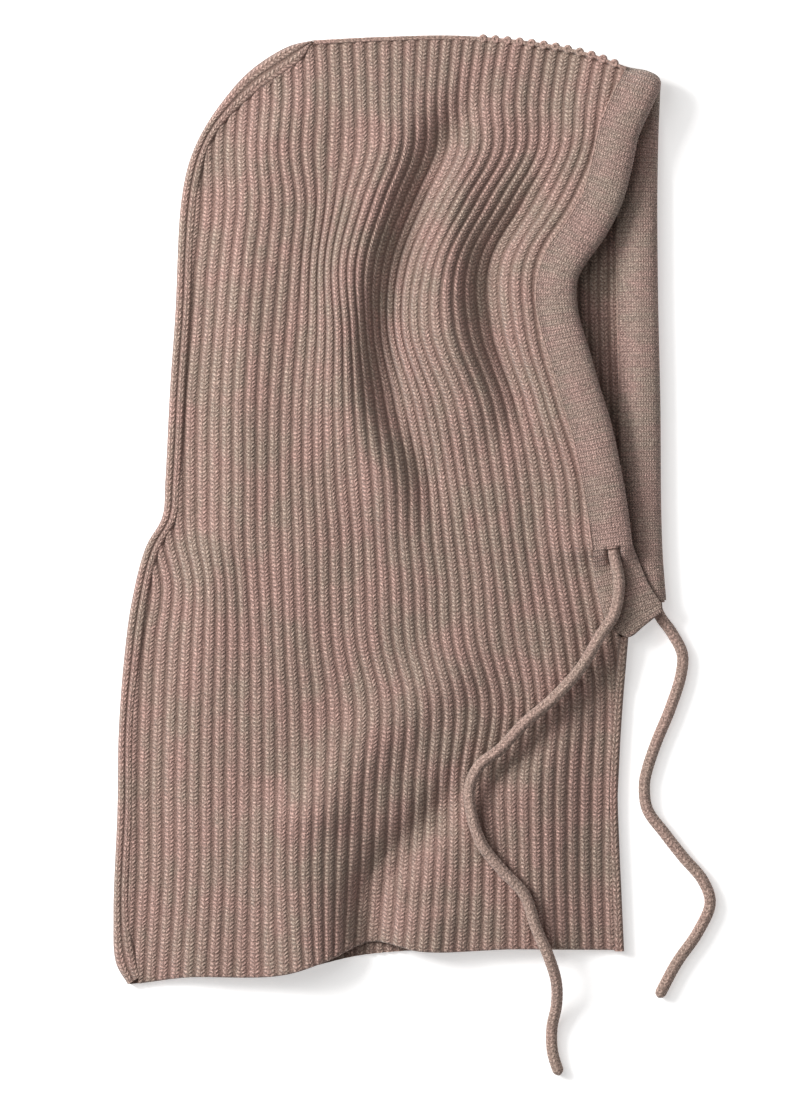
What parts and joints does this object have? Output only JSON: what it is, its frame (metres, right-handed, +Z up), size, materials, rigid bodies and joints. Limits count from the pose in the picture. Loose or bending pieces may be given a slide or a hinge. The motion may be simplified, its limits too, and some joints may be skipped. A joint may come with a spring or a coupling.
{
  "type": "balaclava",
  "caption": "Rib-knit hooded balaclava laid flat, with a doubled casing band round the face opening, a chin tab and a knitted drawcord whose free ends pull out of eyelets.",
  "frame": {"origin": "middle of the laid garment's outline without the free drawcord ends, on the surface it lies on", "axes": "+Z up out of the surface, +Y from the hem to the crown, +X towards the face opening; the garment lies on its left side"},
  "size_m": [0.3139, 0.5433, 0.024],
  "materials": {
    "rib_knit": "heathered rosy taupe rib knit, soft and fuzzy, matt",
    "jersey_knit": "heathered rosy taupe jersey knit, fine and matt",
    "seam_yarn": "linked yarn of the same colour, matt",
    "cord_knit": "round knitted cord of the same yarn, matt"
  },
  "bodies": {
    "hood": {"left_side_panel": "rib_knit", "right_side_panel": "rib_knit", "left_hem_edge": "rib_knit", "right_hem_edge": "rib_knit", "back_edge_strip": "rib_knit", "crown_seam": "seam_yarn", "front_neck_seam": "seam_yarn", "face_casing": "jersey_knit", "left_casing_seam": "seam_yarn", "right_casing_seam": "seam_yarn", "right_casing_end": "jersey_knit", "chin_band": "jersey_knit", "right_eyelet": "seam_yarn", "left_eyelet": "seam_yarn", "casing_drawcord": "cord_knit"},
    "right_cord_end": {"right_drawcord_run": "cord_knit", "right_drawcord": "cord_knit"},
    "left_cord_end": {"left_drawcord_run": "cord_knit", "left_drawcord": "cord_knit"}
  },
  "joints": [
    {"name": "right_drawcord_pull", "type": "slide", "parent": "hood", "child": "right_cord_end", "axis": [0.1516, -0.9884, 0], "range_m": [0, 0.05]},
    {"name": "left_drawcord_pull", "type": "slide", "parent": "hood", "child": "left_cord_end", "axis": [0.0779, -0.997, 0], "range_m": [0, 0.05]}
  ]
}
